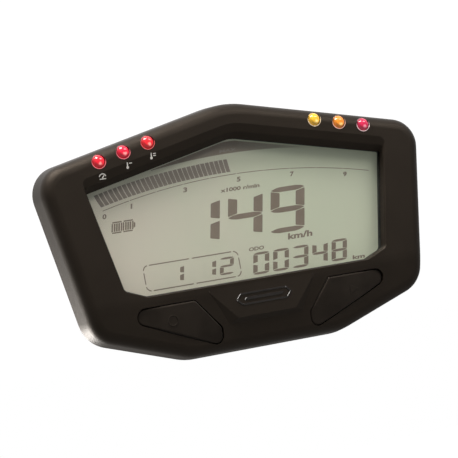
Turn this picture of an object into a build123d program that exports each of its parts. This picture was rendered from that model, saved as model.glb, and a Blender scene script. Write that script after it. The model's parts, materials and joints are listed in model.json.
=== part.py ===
"""Motorcycle instrument cluster: a sealed digital dash with a liquid crystal display.

Frame: +X to the rider's right, +Z up, +Y away from the rider. The origin is the centre of the
rear mounting pattern, on the plane that the mounting bosses rest against. Millimetres.
Depths are counted from the lip of the window towards the rear.
"""

import os
from math import hypot, radians, tan

from build123d import *

# ---------------------------------------------------------------- driving dimensions
LIP_Y = -27.0  # the window's lip, ahead of the mounting plane

# Outlines seen from the front, clockwise from the top: (x, z, corner radius), right half.
OUTER_HALF = [(0, 36.8, 27), (62.9, 22.8, 8.5), (53.9, -27.1, 9.3), (25.0, -36.8, 16)]
LIP_HALF = [(0, 27.3, 14), (48.7, 16.6, 0.8), (42.35, -14.4, 1.6), (35.85, -17.05, 1.6)]
PLATEAU_TOP_HALF = [(17.4, -18.6, 0.4), (9.4, -27.7, 0.7)]
PLATEAU_BASE_HALF = [(20.2, -18.6, 0.4), (12.4, -29.3, 0.9)]
BUTTON = [(21.7, -20.3, 1.2), (50.8, -20.3, 2.65), (14.2, -35.5, 2.5), (14.2, -29.5, 2.2)]

# Depths behind the lip
FACE = -0.6
PLATEAU_BASE = 0.85
CEILING = 1.6
FIELD_CEILING = 3.4
SKIRT_REAR = 8.4
CASING_FRONT = 8.7
BOSS_REAR = 12.9
BOARD_FRONT = 13.0
BOARD_REAR = 14.6
BOARD_INSET = 5.4
WALL_INNER = 20.8
WALL_OUTER = 23.0
MOUNT_FACE = -LIP_Y

# Front bezel
SHOULDER = 3.7
DRAFT = 6.0
SKIRT_FLARE = 0.35
WALL = 2.4
FIELD_TOP = -18.5
FIELD_TILT = 7.0
FIELD_FOOT = -45.0
FIELD_SEAM = 0.7  # how far below the field's top the hollow behind it steps back
CREASE_RADIUS = 25.0
FRAME_SLOPE = [2.5, 0.4, 0.4, 0.4, 0.4, 0.4, 2.5]
REVEAL = [-1.8, -0.3, -0.2, -0.2, -0.2, -0.3, -1.8]
BOSS_R = 2.4
BOARD_BOSS_R = 2.2
EMBED = 0.2  # how far a boss is sunk into the wall that it grows from
BORE_PAST = 1.0  # how far a screw's pilot hole runs past its tip
CLEAR_OF_FACE = 4.0  # how far ahead of the lip a cut through the face ends
WIDE = 140.0  # wider than the whole cluster

# Rear casing: growths are measured from the outer outline. Its sides slope in towards the rear,
# most on the left and right: one growth for each edge, clockwise from the top right.
CASING_INSET = -0.35
CASING_REAR = [-1.4, -5.2, -2.7, -1.4, -2.7, -5.2, -1.4]
CASING_WALL = 2.3
CASING_EDGE = 2.0
TONGUE = (-2.55, -3.8)
TONGUE_FRONT = 5.9
TONGUE_ROOT = 11.0
SEAL_TRACK = (-0.95, -2.15)
SEAL = (SKIRT_REAR, 9.3)
LABEL_SIZE = (40, 13)
LABEL_AT = (0, 15)
LABEL_DEPTH = 0.4
LABEL_CORNER = 1.5

# Window and display stack: growths from the window's outline, and (front depth, rear depth)
LENS_GROWTH = 1.8
GLASS_GROWTH = 1.2
CONTACT_LEDGE = 1.9
LENS_SEAL = (CEILING, 2.0)
LENS = (2.0, 4.0)
LENS_EDGE = 0.25
DISPLAY_GASKET = (4.0, 5.0)
FRONT_POLARISER = (5.0, 5.2)
FRONT_GLASS = (5.2, 5.9)
REAR_GLASS = (5.9, 6.6)
REAR_POLARISER = (6.6, 6.8)
DIFFUSER = (6.8, 7.0)
LIGHT_GUIDE = (7.0, 10.0)
REFLECTOR = (10.0, 10.2)
TRAY = (5.6, BOARD_FRONT)
TRAY_FLOOR = (10.25, 11.45)
TRAY_POCKET_FIT = 0.1
TRAY_GROWTH = [2.7, 3.0, 3.2, 4.3, 3.2, 3.0, 2.7]
CONTACT_STRIP = (-18.65, -19.65)  # top and bottom of the elastomer strip, z
CONTACT_STRIP_HALF = 24.0
BACKLIGHT_X = (-31.0, -27.0, 27.0, 31.0)
BACKLIGHT_Z = -18.75
BACKLIGHT_SIZE = (2.8, 1.1)
BACKLIGHT = (7.4, 9.8)
BACKLIGHT_FEET = 2.0
BACKLIGHT_FOOT = 0.4
TRAY_SLOT_FIT = 0.3

# Fasteners and mounts, with the fittings of the rear wall
CASE_SCREWS = [(0, 30.6), (53.1, 17.9), (46.2, -20.9), (0, -31.2), (-46.2, -20.9), (-53.1, 17.9)]
BOARD_SCREWS = [(18, 26.9), (50.4, -2), (-50.4, -2), (-18, 26.9)]
CASE_SCREW_R = 1.3
BOARD_SCREW_R = 1.0
THREAD_FIT = 0.02
CASE_SCREW_FIT = 0.15
CASE_SCREW_SEAT = 19.0
CASE_SCREW_TIP = 7.0
CASE_HEAD_R = 2.1
CASE_HEAD = 1.9
CASE_RECESS = (2.6, 0.6)
BOARD_SCREW_TIP = 8.6
BOARD_HEAD_R = 1.9
BOARD_HEAD = 1.4
BOARD_RECESS = (2.0, 0.45)
RECESS_SHARE = 0.6
HEAD_EDGE = 0.4
TOWER_R = 3.4
TOWER_FRONT = 13.05
TOWER_REAR = 21.5
TOWER_BORE_R = 2.4
MOUNT_POINTS = [(-25, 0), (25, 0)]
MOUNT_BORE_R = 2.1
MOUNT_BOSS_R = 6.0
MOUNT_BOSS_FRONT = 16.8
INSERT_R = 3.5
INSERT_LENGTH = 8.0
INSERT_GROOVES = (2.2, 5.0)
INSERT_GROOVE = 1.0
INSERT_GROOVE_DEPTH = 0.5
INSERT_SIDES = 24
INSERT_POCKET = 18.0
GROMMET_AT = (0, -16.5)
GROMMET_BORE_R = 3.25
GROMMET_NECK_R = 4.75
GROMMET_FLANGE_R = 6.5
GROMMET_FLANGE = 1.0
GROMMET_NOSE_R = 4.9
GROMMET_NOSE = 2.4
GROMMET_NOSE_DRAFT = 8.0
GROMMET_EDGE = 0.35
VENT_AT = (36, -9.5)
VENT_NECK_R = 2.0
VENT_CAP_R = 4.0
VENT_CAP = 1.3
VENT_HOLE_R = 0.9
VENT_HOLE = 5.0
VENT_EDGE = 0.4
PLUG_FIT = 0.02
SEAL_FIT = 0.05
PASSING_GAP = 0.35  # between the casing's tongue and the posts that it passes

# Indicators: centres of the right-hand row, from the inside out
INDICATORS = [(27.2, 27.3), (35.2, 25.5), (43.1, 23.7)]
INDICATOR_NAMES = ["inner", "middle", "outer"]
INDICATOR_R = 2.0
INDICATOR_HOLE_R = 2.12
INDICATOR_CHAMFER = 0.3
INDICATOR_TIP = -1.4
INDICATOR_REAR = 5.2
INDICATOR_FLAT_R = 0.25
LEAD_R = 0.25
LEAD_BEND = 0.6
LEAD_PITCH = 2.0
LEAD_STEP = (0.67, 3.0)  # how far the leads jog towards the middle of the board: x, z
LEAD_PATH = (6.4, 9.6, 15.6)

# Buttons, their retainers and their switches
SIDES = [("left", -1), ("right", 1)]
STEM_AT = (25.5, -26.6)
BUTTON_GAP = 0.25
MOVING_GAP = 0.3
CAP_PROUD = 0.5
CAP_CROWN_R = 95.0
CAP_BLANK = -2.5
CAP_EDGE = 0.45
FLANGE = (3.7, 4.5)
FLANGE_WIDTH = 0.8
STEM_R = 2.5
STEM_TIP = 8.55
STEM_GROOVE = (6.1, 7.1)
RING_R = 0.48
RING_FIT = 0.05
RING_SLACK = 0.03
RETAINER = (5.4, 7.0)
RETAINER_GROWTH = [1.5, 1.1, 3.0, 3.0]
RETAINER_TOP = -21.8
SLEEVE_R = 4.0
SLEEVE_REAR = 8.0
SLEEVE_FIT = 0.05
STAKES = [(42.6, -23.6), (12.4, -30.6)]
STAKE_R = 0.8
STAKE_LUG_R = 1.7
STAKE_END = 7.7
SWITCH_SIZE = 6.0
SWITCH_CORNER = 0.4
SWITCH_FRONT = 9.5
SWITCH_WELL = 12.2
PLUNGER_R = 1.7
PLUNGER = (8.6, 10.9)
PLUNGER_EDGE = 0.2

# Main board: centres on its rear face
BOARD_TOWER_GAP = 0.5
BOARD_HOLE_FIT = 0.1
MICROCONTROLLER_AT = (0, 8)
DRIVER_AT = (0, -8.5)
HEADER_AT = (0, -23.8)
HEADER_SIZE = (17.5, 6.0)
HEADER_HEIGHT = 5.0
HEADER_WALL = 0.8
HEADER_CORNER = 0.6
HEADER_FLOOR = 1.2
PIN_TAIL = 1.2
PIN_SHORT = 0.6  # how far the pins stay inside the header's mouth
PIN_PITCH = 2.54
PIN_COLUMNS = 6
PIN_SIZE = 0.64
PIN_HOLE_R = 0.5
CAPACITORS = [(-40, 13), (-32, 14.5)]
REGULATOR_AT = (-40, 1.5)
INDUCTOR_AT = (-40, -8)
DIODE_AT = (-30, -15.5)
CRYSTAL_AT = (11.5, 9)
CHIP_FIELDS = [((24, 14), 5, 3), ((38, 3), 3, 4), ((-14.5, 12), 3, 4), ((14, -9), 3, 3)]
CHIP_PITCH = (3.2, 2.4)
PACKAGE_GAP = 0.1
PACKAGE_CORNER = 0.3
LEAD_FOOT = (0.35, 1.3)
LEAD_FOOT_HEIGHT = 0.4
LEAD_FOOT_REACH = 0.4
LEAD_ROW_MARGIN = 1.2
END_STEP = 0.06
INDUCTOR_SIZE = (6.4, 3.0)
INDUCTOR_CORNER = 1.2
INDUCTOR_EDGE = 0.3
CAPACITOR_BASE = (6.6, 0.6)
CAPACITOR_R = 3.15
CAPACITOR_CAN = 4.8
CAPACITOR_EDGE = 0.4


# ---------------------------------------------------------------- helpers
def at(depth):
    """A sketch plane at a depth behind the lip: x to the right, y up, extruding towards the rider."""
    return Plane(origin=(0, LIP_Y + depth, 0), x_dir=(1, 0, 0), z_dir=(0, -1, 0))


def mirrored(half):
    """Completes an outline from its right half. A corner on the centre line isn't repeated."""
    left = [(-x, z, r) for x, z, r in reversed(half) if x != 0]
    return half + left


def sided(corners, side):
    """An outline of the right-hand side, or its mirror image for side -1, still clockwise."""
    if side > 0:
        return corners
    return [(-x, z, r) for x, z, r in reversed(corners)]


def grown(corners, by):
    """Moves every edge outwards by its own amount, or by one amount, and rounds the corners to suit."""
    count = len(corners)
    amounts = by if isinstance(by, list) else [by] * count
    lines = []
    for i, (x, z, _) in enumerate(corners):
        x2, z2, _ = corners[(i + 1) % count]
        length = hypot(x2 - x, z2 - z)
        nx, nz = (z - z2) / length, (x2 - x) / length
        lines.append((nx, nz, nx * x + nz * z + amounts[i]))
    result = []
    for i, (_, _, radius) in enumerate(corners):
        a1, b1, c1 = lines[i - 1]
        a2, b2, c2 = lines[i]
        det = a1 * b2 - a2 * b1
        spread = (amounts[i - 1] + amounts[i]) / 2
        x, z = (c1 * b2 - c2 * b1) / det, (a1 * c2 - a2 * c1) / det
        result.append((x, z, max(radius + spread, 0.2)))
    return result


def outline(corners, mode=Mode.ADD):
    """Draws a closed outline with its own radius at each corner."""
    with BuildLine() as loop:
        FilletPolyline([(x, z) for x, z, _ in corners], radius=[r for _, _, r in corners], close=True)
    make_face(loop.edges(), mode=mode)


def circles(depth, places, radius, reach, mode=Mode.ADD):
    """Round posts or holes: from a depth, towards the rider for a positive reach."""
    with BuildSketch(at(depth)) as rounds:
        with Locations(*places):
            Circle(radius)
    extrude(rounds.sketch, amount=reach, mode=mode)


def field_depth(z):
    """Depth of the tilted lower field of the bezel at a height."""
    return FACE + (FIELD_TOP - z) * tan(radians(FIELD_TILT))


def side_points(points, side):
    """Mirrors right-hand points for side -1."""
    return [(side * x, z) for x, z in points]


def thickness(layer):
    """The distance between a layer's front and rear depths."""
    return layer[1] - layer[0]


def screws(places, radius, tip, seat, head, recess):
    """Cross-recessed screws, driven from the rear. head: its radius and height."""
    with BuildPart() as group:
        for place in places:
            circles(seat, [place], radius, seat - tip)
            circles(seat, [place], head[0], -head[1])
            with BuildSketch(at(seat + head[1])):
                with Locations(place):
                    Rectangle(*recess)
                    Rectangle(*reversed(recess))
            extrude(amount=head[1] * RECESS_SHARE, mode=Mode.SUBTRACT)
        fillet(group.edges().filter_by(GeomType.CIRCLE).group_by(Axis.Y)[-1], HEAD_EDGE)
    return group.part


OUTER = mirrored(OUTER_HALF)
LIP = mirrored(LIP_HALF)
PLATEAU_TOP = mirrored(PLATEAU_TOP_HALF)
PLATEAU_FOOT = mirrored(PLATEAU_BASE_HALF)
WINDOW = grown(LIP, REVEAL)
GLASS_LINE = grown(WINDOW, GLASS_GROWTH)
REAR_GLASS_LINE = grown(GLASS_LINE, [0, 0, 0, CONTACT_LEDGE, 0, 0, 0])
TRAY_LINE = grown(WINDOW, TRAY_GROWTH)
CAVITY = grown(OUTER, -WALL)
BOARD_LINE = grown(OUTER, -BOARD_INSET)
INDICATOR_POINTS = side_points(INDICATORS, -1) + side_points(INDICATORS, 1)

os.makedirs("parts", exist_ok=True)

# ---------------------------------------------------------------- front bezel
with BuildPart() as front_bezel:
    with BuildSketch(at(SKIRT_REAR)):
        outline(grown(OUTER, SKIRT_FLARE))
    extrude(amount=SKIRT_REAR - FACE, taper=DRAFT)
    with BuildSketch(Plane.YZ):
        with BuildLine():
            Polyline(
                (LIP_Y + FACE, FIELD_TOP),
                (LIP_Y + field_depth(FIELD_FOOT), FIELD_FOOT),
                (LIP_Y - CLEAR_OF_FACE, FIELD_FOOT),
                (LIP_Y - CLEAR_OF_FACE, FIELD_TOP),
                close=True,
            )
        make_face()
    extrude(amount=WIDE / 2, both=True, mode=Mode.SUBTRACT)
    crease = front_bezel.edges().filter_by(Axis.X).group_by(Axis.Y)[0].sort_by(Axis.Z)[0]
    fillet(crease, CREASE_RADIUS)
    front = front_bezel.faces().filter_by(lambda f: f.normal_at().Y < -0.9)
    across = front.edges().filter_by(lambda e: e.geom_type == GeomType.LINE and e.length > 90)
    rim = [e for e in front.edges() if not any(e.is_same(other) for other in across)]
    fillet(rim, SHOULDER)
    # the raised plateau below the window
    with BuildSketch(at(PLATEAU_BASE)):
        outline(PLATEAU_FOOT)
    with BuildSketch(at(FACE)):
        outline(PLATEAU_TOP)
    loft(ruled=True)
    # the sloped frame around the window, then the reveal behind its lip
    with BuildSketch(at(FACE)):
        outline(grown(LIP, FRAME_SLOPE))
    with BuildSketch(at(0)):
        outline(LIP)
    loft(ruled=True, mode=Mode.SUBTRACT)
    with BuildSketch(at(0)):
        outline(LIP)
    with BuildSketch(at(CEILING)):
        outline(WINDOW)
    loft(ruled=True, mode=Mode.SUBTRACT)
    # the hollow behind the face, deeper above the lower field
    with BuildSketch(at(FIELD_CEILING)):
        outline(CAVITY)
    extrude(amount=FIELD_CEILING - SKIRT_REAR, mode=Mode.SUBTRACT)
    with BuildSketch(at(CEILING)):
        outline(CAVITY)
        with Locations((0, FIELD_TOP - FIELD_SEAM)):
            Rectangle(WIDE, WIDE, align=(Align.CENTER, Align.MAX), mode=Mode.SUBTRACT)
    extrude(amount=CEILING - FIELD_CEILING, mode=Mode.SUBTRACT)
    # bosses for the case screws, bosses for the board, and stakes for the button retainers
    for points, radius, rear in (
        (CASE_SCREWS, BOSS_R, BOSS_REAR),
        (BOARD_SCREWS, BOARD_BOSS_R, BOARD_FRONT),
        (side_points(STAKES, -1) + side_points(STAKES, 1), STAKE_R, STAKE_END),
    ):
        for x, z in points:
            root = CEILING if z > FIELD_TOP else FIELD_CEILING
            circles(rear, [(x, z)], radius, rear - root + EMBED)
    for points, radius, tip, rear in (
        (CASE_SCREWS, CASE_SCREW_R, CASE_SCREW_TIP, BOSS_REAR),
        (BOARD_SCREWS, BOARD_SCREW_R, BOARD_SCREW_TIP, BOARD_FRONT),
    ):
        circles(rear, points, radius + THREAD_FIT, rear - tip + BORE_PAST, mode=Mode.SUBTRACT)
    # openings for the indicators and the buttons
    through = INDICATOR_REAR + CLEAR_OF_FACE
    circles(INDICATOR_REAR, INDICATOR_POINTS, INDICATOR_HOLE_R, through, mode=Mode.SUBTRACT)
    with BuildSketch(at(FACE)):
        with Locations(*INDICATOR_POINTS):
            Circle(INDICATOR_HOLE_R + INDICATOR_CHAMFER)
    extrude(amount=-INDICATOR_CHAMFER, taper=45, mode=Mode.SUBTRACT)
    for _, side in SIDES:
        with BuildSketch(at(FIELD_CEILING)):
            outline(sided(BUTTON, side))
        extrude(amount=FIELD_CEILING + CLEAR_OF_FACE, mode=Mode.SUBTRACT)
front_bezel.part.label = "front_bezel"
export_step(front_bezel.part, "parts/front_bezel.step")

# ---------------------------------------------------------------- rear casing
with BuildPart() as rear_casing:
    with BuildSketch(at(CASING_FRONT)):
        outline(grown(OUTER, CASING_INSET))
    with BuildSketch(at(WALL_OUTER)):
        outline(grown(OUTER, CASING_REAR))
    loft(ruled=True)
    fillet(rear_casing.faces().sort_by(Axis.Y)[-1].edges(), CASING_EDGE)
    with BuildSketch(at(CASING_FRONT)):
        outline(grown(OUTER, CASING_INSET - CASING_WALL))
    with BuildSketch(at(WALL_INNER)):
        outline(grown(OUTER, [edge - CASING_WALL for edge in CASING_REAR]))
    loft(ruled=True, mode=Mode.SUBTRACT)
    # the tongue that enters the bezel's skirt, clear of its bosses and of the indicators
    with BuildSketch(at(TONGUE_ROOT)):
        outline(grown(OUTER, TONGUE[0]))
        outline(grown(OUTER, TONGUE[1]), mode=Mode.SUBTRACT)
        for points, radius in (
            (CASE_SCREWS, BOSS_R),
            (BOARD_SCREWS, BOARD_BOSS_R),
            (INDICATOR_POINTS, INDICATOR_R),
        ):
            with Locations(*points):
                Circle(radius + PASSING_GAP, mode=Mode.SUBTRACT)
    extrude(amount=TONGUE_ROOT - TONGUE_FRONT)
    with BuildSketch(at(SEAL[1])):
        outline(grown(OUTER, SEAL_TRACK[0]))
        outline(grown(OUTER, SEAL_TRACK[1]), mode=Mode.SUBTRACT)
    extrude(amount=thickness(SEAL), mode=Mode.SUBTRACT)
    # screw towers and mounting bosses, then the bores in them and in the rear wall
    circles(TOWER_REAR, CASE_SCREWS, TOWER_R, TOWER_REAR - TOWER_FRONT)
    circles(MOUNT_FACE, MOUNT_POINTS, MOUNT_BOSS_R, MOUNT_FACE - MOUNT_BOSS_FRONT)
    for points, radius, mouth, bottom in (
        (MOUNT_POINTS, INSERT_R, MOUNT_FACE, INSERT_POCKET),
        (CASE_SCREWS, TOWER_BORE_R, WALL_OUTER, CASE_SCREW_SEAT),
        (CASE_SCREWS, CASE_SCREW_R + CASE_SCREW_FIT, CASE_SCREW_SEAT, TOWER_FRONT - BORE_PAST),
        ([GROMMET_AT], GROMMET_NECK_R, WALL_OUTER, WALL_INNER - BORE_PAST),
        ([VENT_AT], VENT_NECK_R, WALL_OUTER, WALL_INNER - BORE_PAST),
    ):
        circles(mouth, points, radius, mouth - bottom, mode=Mode.SUBTRACT)
    with BuildSketch(at(WALL_OUTER)):
        with Locations(LABEL_AT):
            RectangleRounded(*LABEL_SIZE, LABEL_CORNER)
    extrude(amount=LABEL_DEPTH, mode=Mode.SUBTRACT)
rear_casing.part.label = "rear_casing"
export_step(rear_casing.part, "parts/rear_casing.step")

with BuildPart() as case_seal:
    with BuildSketch(at(SEAL[1])):
        outline(grown(OUTER, SEAL_TRACK[0] - SEAL_FIT))
        outline(grown(OUTER, SEAL_TRACK[1] + SEAL_FIT), mode=Mode.SUBTRACT)
    extrude(amount=thickness(SEAL))
case_seal.part.label = "case_seal"
export_step(case_seal.part, "parts/case_seal.step")

case_screws = screws(
    CASE_SCREWS, CASE_SCREW_R, CASE_SCREW_TIP, CASE_SCREW_SEAT, (CASE_HEAD_R, CASE_HEAD), CASE_RECESS
)
case_screws.label = "case_screws"
export_step(case_screws, "parts/case_screws.step")

with BuildPart() as mount_inserts:
    for x, z in MOUNT_POINTS:
        with BuildSketch(at(MOUNT_FACE)):
            with Locations((x, z)):
                RegularPolygon(INSERT_R - PLUG_FIT, INSERT_SIDES)
                Circle(MOUNT_BORE_R, mode=Mode.SUBTRACT)
        extrude(amount=INSERT_LENGTH)
        for groove in INSERT_GROOVES:
            with BuildSketch(at(MOUNT_FACE - groove)):
                with Locations((x, z)):
                    Circle(INSERT_R)
                    Circle(INSERT_R - INSERT_GROOVE_DEPTH, mode=Mode.SUBTRACT)
            extrude(amount=INSERT_GROOVE, mode=Mode.SUBTRACT)
mount_inserts.part.label = "mount_inserts"
export_step(mount_inserts.part, "parts/mount_inserts.step")

with BuildPart() as harness_grommet:
    grommet_front = WALL_INNER - GROMMET_FLANGE
    grommet_rear = WALL_OUTER + GROMMET_FLANGE + GROMMET_NOSE
    circles(WALL_OUTER, [GROMMET_AT], GROMMET_NECK_R - PLUG_FIT, WALL_OUTER - WALL_INNER)
    for depth in (WALL_INNER, WALL_OUTER + GROMMET_FLANGE):
        circles(depth, [GROMMET_AT], GROMMET_FLANGE_R, GROMMET_FLANGE)
    with BuildSketch(at(WALL_OUTER + GROMMET_FLANGE)):
        with Locations(GROMMET_AT):
            Circle(GROMMET_NOSE_R)
    extrude(amount=-GROMMET_NOSE, taper=GROMMET_NOSE_DRAFT)
    circles(grommet_rear, [GROMMET_AT], GROMMET_BORE_R, grommet_rear - grommet_front, mode=Mode.SUBTRACT)
    flange_rims = harness_grommet.edges().filter_by(
        lambda e: e.geom_type == GeomType.CIRCLE and e.radius > GROMMET_FLANGE_R - PLUG_FIT
    )
    fillet(flange_rims, GROMMET_EDGE)
harness_grommet.part.label = "harness_grommet"
export_step(harness_grommet.part, "parts/harness_grommet.step")

with BuildPart() as vent_plug:
    circles(WALL_OUTER, [VENT_AT], VENT_CAP_R, -VENT_CAP)
    fillet(vent_plug.edges().group_by(Axis.Y)[-1], VENT_EDGE)
    circles(WALL_OUTER, [VENT_AT], VENT_NECK_R - PLUG_FIT, WALL_OUTER - WALL_INNER)
    circles(WALL_OUTER, [VENT_AT], VENT_HOLE_R, VENT_HOLE, mode=Mode.SUBTRACT)
vent_plug.part.label = "vent_plug"
export_step(vent_plug.part, "parts/vent_plug.step")

# ---------------------------------------------------------------- window and display stack
with BuildPart() as window_lens:
    with BuildSketch(at(LENS[1])):
        outline(grown(WINDOW, LENS_GROWTH))
    extrude(amount=thickness(LENS))
    chamfer(window_lens.faces().sort_by(Axis.Y)[0].edges(), LENS_EDGE)
window_lens.part.label = "window_lens"
export_step(window_lens.part, "parts/window_lens.step")

# gaskets: name, layer, and the growths of the strip's outer and inner edges
for name, layer, outer_growth, inner_growth in (
    ("lens_seal", LENS_SEAL, LENS_GROWTH - 0.1, 0.2),
    ("display_gasket", DISPLAY_GASKET, GLASS_GROWTH - 0.1, 0.3),
):
    with BuildPart() as gasket:
        with BuildSketch(at(layer[1])):
            outline(grown(WINDOW, outer_growth))
            outline(grown(WINDOW, inner_growth), mode=Mode.SUBTRACT)
        extrude(amount=thickness(layer))
    gasket.part.label = name
    export_step(gasket.part, f"parts/{name}.step")

# flat layers of the display: name, layer, outline
for name, layer, line in (
    ("front_polariser", FRONT_POLARISER, grown(GLASS_LINE, -0.1)),
    ("front_glass", FRONT_GLASS, GLASS_LINE),
    ("rear_glass", REAR_GLASS, REAR_GLASS_LINE),
    ("rear_polariser", REAR_POLARISER, grown(GLASS_LINE, -0.3)),
    ("diffuser_film", DIFFUSER, grown(GLASS_LINE, -0.3)),
    ("light_guide", LIGHT_GUIDE, grown(GLASS_LINE, -0.1)),
    ("reflector_film", REFLECTOR, grown(GLASS_LINE, -0.1)),
):
    with BuildPart() as flat_layer:
        with BuildSketch(at(layer[1])):
            outline(line)
        extrude(amount=thickness(layer))
    flat_layer.part.label = name
    export_step(flat_layer.part, f"parts/{name}.step")

with BuildPart() as display_tray:
    with BuildSketch(at(TRAY[1])):
        outline(TRAY_LINE)
    extrude(amount=thickness(TRAY))
    with BuildSketch(at(TRAY_FLOOR[0])):
        outline(grown(REAR_GLASS_LINE, TRAY_POCKET_FIT))
    extrude(amount=TRAY_FLOOR[0] - TRAY[0], mode=Mode.SUBTRACT)
    with BuildSketch(at(TRAY[1])):
        outline(grown(REAR_GLASS_LINE, TRAY_POCKET_FIT))
    extrude(amount=TRAY[1] - TRAY_FLOOR[1], mode=Mode.SUBTRACT)
    with BuildSketch(at(TRAY[1])):
        with Locations((0, sum(CONTACT_STRIP) / 2)):
            Rectangle(
                2 * CONTACT_STRIP_HALF + TRAY_SLOT_FIT,
                CONTACT_STRIP[0] - CONTACT_STRIP[1] + TRAY_SLOT_FIT,
            )
        with Locations(*[(x, BACKLIGHT_Z) for x in BACKLIGHT_X]):
            Rectangle(*[side + TRAY_SLOT_FIT for side in BACKLIGHT_SIZE])
    extrude(amount=TRAY[1] - TRAY_FLOOR[0], mode=Mode.SUBTRACT)
display_tray.part.label = "display_tray"
export_step(display_tray.part, "parts/display_tray.step")

with BuildPart() as contact_strip:
    with BuildSketch(at(BOARD_FRONT)):
        with Locations((0, sum(CONTACT_STRIP) / 2)):
            Rectangle(2 * CONTACT_STRIP_HALF, CONTACT_STRIP[0] - CONTACT_STRIP[1])
    extrude(amount=BOARD_FRONT - REAR_GLASS[1])
contact_strip.part.label = "contact_strip"
export_step(contact_strip.part, "parts/contact_strip.step")

with BuildPart() as backlight_leds:
    for x in BACKLIGHT_X:
        with BuildSketch(at(BACKLIGHT[1])):
            with Locations((x, BACKLIGHT_Z)):
                Rectangle(*BACKLIGHT_SIZE)
        extrude(amount=thickness(BACKLIGHT))
        with BuildSketch(at(BOARD_FRONT)):
            with Locations((x, BACKLIGHT_Z)):
                with GridLocations(BACKLIGHT_FEET, 0, 2, 1):
                    Rectangle(BACKLIGHT_FOOT, BACKLIGHT_FOOT)
        extrude(amount=BOARD_FRONT - BACKLIGHT[1])
backlight_leds.part.label = "backlight_leds"
export_step(backlight_leds.part, "parts/backlight_leds.step")

# ---------------------------------------------------------------- indicators
for side_name, side in SIDES:
    for position, (x, z) in zip(INDICATOR_NAMES, INDICATORS):
        with BuildPart() as indicator:
            circles(INDICATOR_REAR, [(side * x, z)], INDICATOR_R, INDICATOR_REAR - INDICATOR_TIP)
            fillet(indicator.faces().sort_by(Axis.Y)[0].edges(), INDICATOR_R - INDICATOR_FLAT_R)
        name = f"{side_name}_{position}_indicator"
        indicator.part.label = name
        export_step(indicator.part, f"parts/{name}.step")

with BuildPart() as indicator_leads:
    for x, z in INDICATOR_POINTS:
        inward = -LEAD_STEP[0] if x > 0 else LEAD_STEP[0]
        for offset in (-LEAD_PITCH / 2, LEAD_PITCH / 2):
            with BuildLine() as lead:
                FilletPolyline(
                    (x + offset, LIP_Y + INDICATOR_REAR, z),
                    (x + offset, LIP_Y + LEAD_PATH[0], z),
                    (x + offset + inward, LIP_Y + LEAD_PATH[1], z - LEAD_STEP[1]),
                    (x + offset + inward, LIP_Y + LEAD_PATH[2], z - LEAD_STEP[1]),
                    radius=LEAD_BEND,
                )
            with BuildSketch(Plane(origin=lead.line @ 0, z_dir=lead.line % 0)):
                Circle(LEAD_R)
            sweep(path=lead.line)
indicator_leads.part.label = "indicator_leads"
export_step(indicator_leads.part, "parts/indicator_leads.step")

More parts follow.
